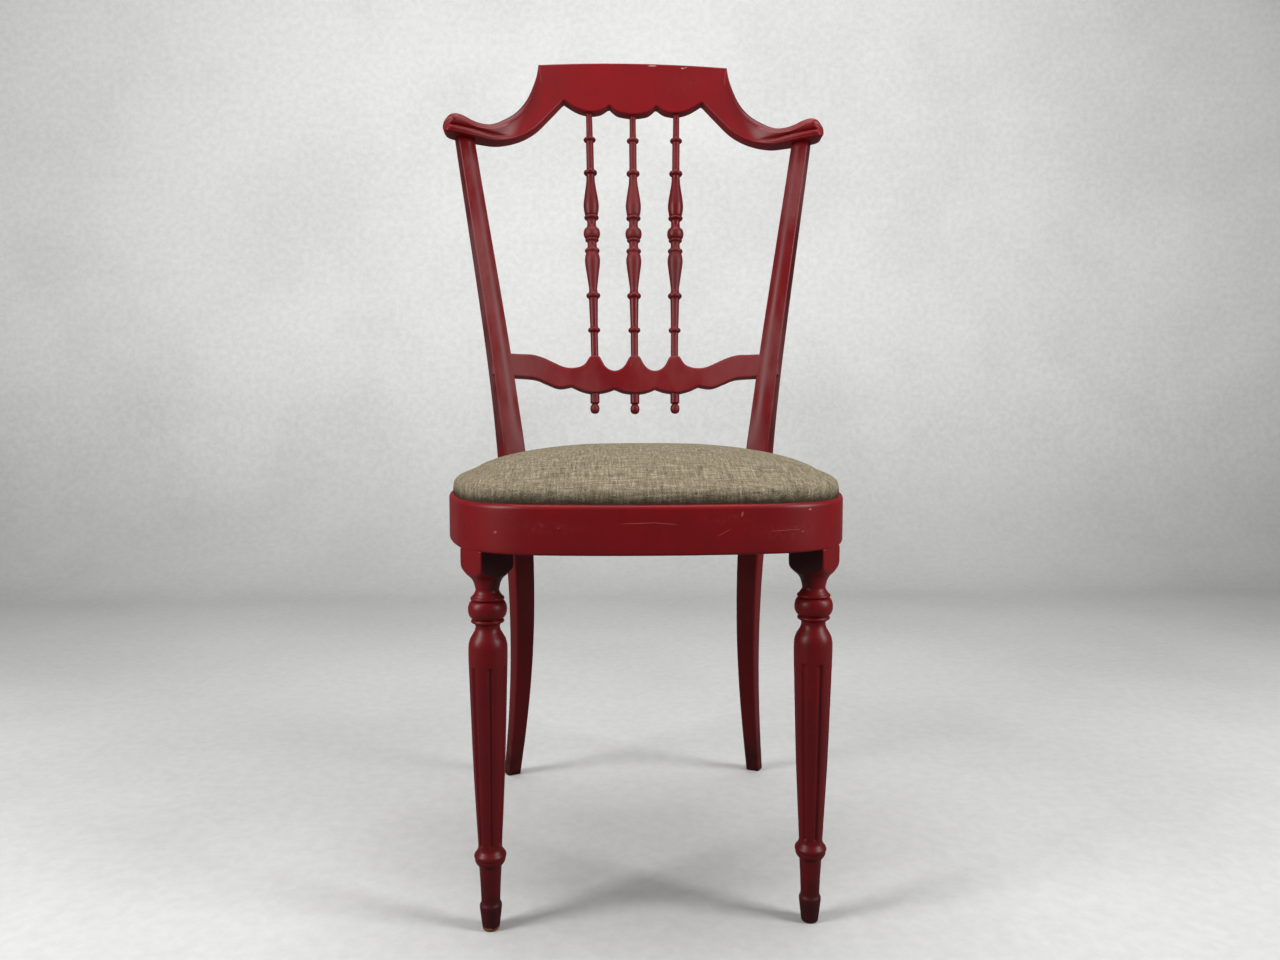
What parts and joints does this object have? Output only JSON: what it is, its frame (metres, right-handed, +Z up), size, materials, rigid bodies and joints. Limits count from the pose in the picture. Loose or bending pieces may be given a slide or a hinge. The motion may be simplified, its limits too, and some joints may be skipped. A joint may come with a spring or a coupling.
{
  "type": "dining chair",
  "caption": "Spindle-back dining chair in worn dark red lacquer with fluted turned front legs, a scalloped crest rail and a drop-in pad in olive-grey linen",
  "frame": {"origin": "Floor point under the middle of the chair's bounding box", "axes": "+Z up from the floor, +X to the right as seen from the front, -Y out through the front of the seat"},
  "size_m": [0.4778, 0.5018, 0.9427],
  "materials": {
    "red_lacquer": "Dark red satin lacquer over wood, with chips, rubbed arrises and scuffs",
    "olive_linen": "Coarse olive-grey linen weave with light slubs",
    "foam": "Aged cream upholstery foam",
    "plywood": "Plain unfinished plywood",
    "bare_wood": "Unfinished hardwood",
    "zinc_steel": "Dull zinc-plated steel"
  },
  "bodies": {
    "root": {"seat_ring": "red_lacquer", "front_leg_left": "red_lacquer", "front_leg_right": "red_lacquer", "rear_post_left": "red_lacquer", "rear_post_right": "red_lacquer", "crest_rail": "red_lacquer", "lower_back_rail": "red_lacquer", "spindle_left": "red_lacquer", "spindle_centre": "red_lacquer", "spindle_right": "red_lacquer", "pendant_left": "red_lacquer", "pendant_centre": "red_lacquer", "pendant_right": "red_lacquer", "seat_board": "plywood", "seat_foam": "foam", "seat_cover": "olive_linen", "corner_block_front_left": "bare_wood", "corner_block_front_right": "bare_wood", "corner_block_rear_left": "bare_wood", "corner_block_rear_right": "bare_wood", "block_screws": "zinc_steel", "seat_screws": "zinc_steel", "post_screws": "zinc_steel", "crest_dowels": "bare_wood", "cover_staples": "zinc_steel"}
  },
  "joints": []
}
